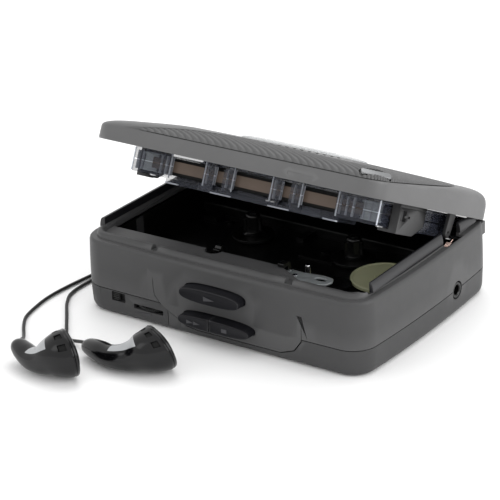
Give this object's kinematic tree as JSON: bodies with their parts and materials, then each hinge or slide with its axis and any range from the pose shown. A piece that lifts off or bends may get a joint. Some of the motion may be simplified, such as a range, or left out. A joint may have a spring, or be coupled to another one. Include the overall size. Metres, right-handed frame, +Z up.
{
  "type": "cassette player",
  "caption": "Portable cassette player with a hinged lid standing open, a clear cassette in the lid, push buttons on the front edge and wired earphones.",
  "frame": {"origin": "bottom centre of the body, on the surface it lies on", "axes": "+X along the long side towards the headphone jack, +Y from the button side towards the lid's hinge, +Z up"},
  "size_m": [0.132, 0.1752, 0.0681],
  "materials": {
    "casing_plastic": "satin",
    "lid_plastic": "satin",
    "black_plastic": "satin",
    "rail_plastic": "semi-gloss",
    "button_plastic": "semi-gloss",
    "cream_plastic": "translucent",
    "clear_plastic": "gloss",
    "window_plastic": "gloss",
    "tape": "satin",
    "steel": "plain",
    "zinc": "plain",
    "brass": "plain",
    "copper": "plain",
    "rubber": "matt",
    "battery_case": "satin"
  },
  "bodies": {
    "casing": {"top_casing": "casing_plastic", "base_cover": "casing_plastic", "deck_plate": "black_plastic", "left_rail": "rail_plastic", "right_front_rail": "rail_plastic", "right_rear_rail": "rail_plastic", "left_cassette_stop": "black_plastic", "right_cassette_stop": "black_plastic", "battery_1": "battery_case", "battery_2": "battery_case", "negative_contact": "steel", "positive_contact": "steel", "headphone_jack": "black_plastic", "circuit_board": "black_plastic", "motor": "steel", "button_bracket": "zinc", "drive_belt": "rubber", "left_hinge_pin": "steel", "right_hinge_pin": "steel", "arm_spring": "copper", "play_spring": "steel", "fast_forward_spring": "steel", "stop_spring": "steel", "base_screw_1": "steel", "base_screw_2": "steel", "base_screw_3": "steel", "left_lead": "rubber", "right_lead": "rubber", "lead_splitter": "rubber", "lead_coil": "rubber", "headphone_plug": "rubber", "left_earbud": "black_plastic", "right_earbud": "black_plastic"},
    "battery_door": {"battery_door": "casing_plastic"},
    "play_button": {"play_button": "button_plastic"},
    "fast_forward_button": {"fast_forward_button": "button_plastic"},
    "stop_button": {"stop_button": "button_plastic"},
    "volume_wheel": {"volume_wheel": "black_plastic"},
    "band_switch": {"band_switch": "rubber"},
    "motor_pulley": {"motor_pulley": "brass"},
    "flywheel": {"flywheel": "brass", "capstan_shaft": "steel"},
    "idler_gear": {"idler_gear": "black_plastic"},
    "drive_gear": {"drive_gear": "cream_plastic"},
    "left_spindle": {"left_spindle": "black_plastic"},
    "right_spindle": {"right_spindle": "black_plastic"},
    "head_plate": {"head_plate": "zinc", "playback_head": "steel"},
    "pinch_arm": {"pinch_arm": "zinc"},
    "pinch_roller": {"pinch_roller": "rubber"},
    "lid": {"lid_cover": "lid_plastic", "lid_inlay": "lid_plastic", "lid_window": "window_plastic", "lid_badge": "zinc", "cassette_holder": "casing_plastic", "lid_arm": "casing_plastic"},
    "cassette": {"cassette_lower_shell": "clear_plastic", "cassette_upper_shell": "clear_plastic"},
    "left_reel": {"left_reel": "tape"},
    "right_reel": {"right_reel": "tape"}
  },
  "joints": [
    {"name": "lid_hinge", "type": "hinge", "parent": "casing", "child": "lid", "pos_m": [0, 0.0374, 0.0244], "axis": [1, 0, 0], "range_deg": [0, 25.45], "stiffness_Nm_per_rad": 0.06, "springref_deg": -91.67},
    {"name": "cassette_slide", "type": "slide", "parent": "lid", "child": "cassette", "axis": [0, 0.903, -0.4297], "range_m": [-0.015, 0]},
    {"name": "left_reel_spin", "type": "hinge", "parent": "cassette", "child": "left_reel", "pos_m": [-0.02125, 0.01211, 0.03433], "axis": [0, 0.4297, 0.903], "continuous": true},
    {"name": "right_reel_spin", "type": "hinge", "parent": "cassette", "child": "right_reel", "pos_m": [0.02125, 0.01211, 0.03433], "axis": [0, 0.4297, 0.903], "continuous": true},
    {"name": "play_slide", "type": "slide", "parent": "casing", "child": "play_button", "axis": [0, 1, 0], "range_m": [0, 0.0025], "stiffness_N_per_m": 800, "deforming": ["play_spring"]},
    {"name": "fast_forward_slide", "type": "slide", "parent": "casing", "child": "fast_forward_button", "axis": [0, 1, 0], "range_m": [0, 0.0025], "stiffness_N_per_m": 800, "deforming": ["fast_forward_spring"]},
    {"name": "stop_slide", "type": "slide", "parent": "casing", "child": "stop_button", "axis": [0, 1, 0], "range_m": [0, 0.0025], "stiffness_N_per_m": 800, "deforming": ["stop_spring"]},
    {"name": "head_plate_slide", "type": "slide", "parent": "casing", "child": "head_plate", "axis": [0, 1, 0], "range_m": [0, 0.0052]},
    {"name": "pinch_arm_swing", "type": "hinge", "parent": "casing", "child": "pinch_arm", "pos_m": [0.033, -0.0285, 0.0247], "axis": [0, 0, 1], "range_deg": [-26, 0]},
    {"name": "pinch_roller_spin", "type": "hinge", "parent": "pinch_arm", "child": "pinch_roller", "pos_m": [0.02125, -0.029, 0.022], "axis": [0, 0, 1], "continuous": true},
    {"name": "volume_turn", "type": "hinge", "parent": "casing", "child": "volume_wheel", "pos_m": [-0.02875, -0.03305, 0.0055], "axis": [0, 0, 1], "range_deg": [-140, 140]},
    {"name": "band_switch_slide", "type": "slide", "parent": "casing", "child": "band_switch", "axis": [1, 0, 0], "range_m": [0, 0.0024]},
    {"name": "battery_door_slide", "type": "slide", "parent": "casing", "child": "battery_door", "axis": [0, 1, 0], "range_m": [0, 0.008]},
    {"name": "flywheel_spin", "type": "hinge", "parent": "casing", "child": "flywheel", "pos_m": [0.02125, -0.0187, 0.011], "axis": [0, 0, 1], "continuous": true},
    {"name": "motor_spin", "type": "hinge", "parent": "casing", "child": "motor_pulley", "pos_m": [-0.02, -0.008, 0.011], "axis": [0, 0, 1], "continuous": true},
    {"name": "idler_spin", "type": "hinge", "parent": "casing", "child": "idler_gear", "pos_m": [0.02751, -0.01142, 0.015], "axis": [0, 0, 1], "continuous": true},
    {"name": "drive_gear_spin", "type": "hinge", "parent": "casing", "child": "drive_gear", "pos_m": [0.0387, 0.0016, 0.015], "axis": [0, 0, 1], "continuous": true},
    {"name": "right_spindle_spin", "type": "hinge", "parent": "casing", "child": "right_spindle", "pos_m": [0.02125, 0.0103, 0.015], "axis": [0, 0, 1], "continuous": true},
    {"name": "left_spindle_spin", "type": "hinge", "parent": "casing", "child": "left_spindle", "pos_m": [-0.02125, 0.0103, 0.015], "axis": [0, 0, 1], "continuous": true}
  ],
  "couplings": [
    {"joint": "head_plate_slide", "follows": "play_slide", "ratio": 2.08},
    {"joint": "pinch_arm_swing", "follows": "play_slide", "rad_per_m": -181.5},
    {"joint": "motor_spin", "follows": "flywheel_spin", "ratio": 3.9062},
    {"joint": "idler_spin", "follows": "flywheel_spin", "ratio": -0.72727},
    {"joint": "drive_gear_spin", "follows": "flywheel_spin", "ratio": 0.34483},
    {"joint": "right_spindle_spin", "follows": "flywheel_spin", "ratio": -0.51292}
  ]
}
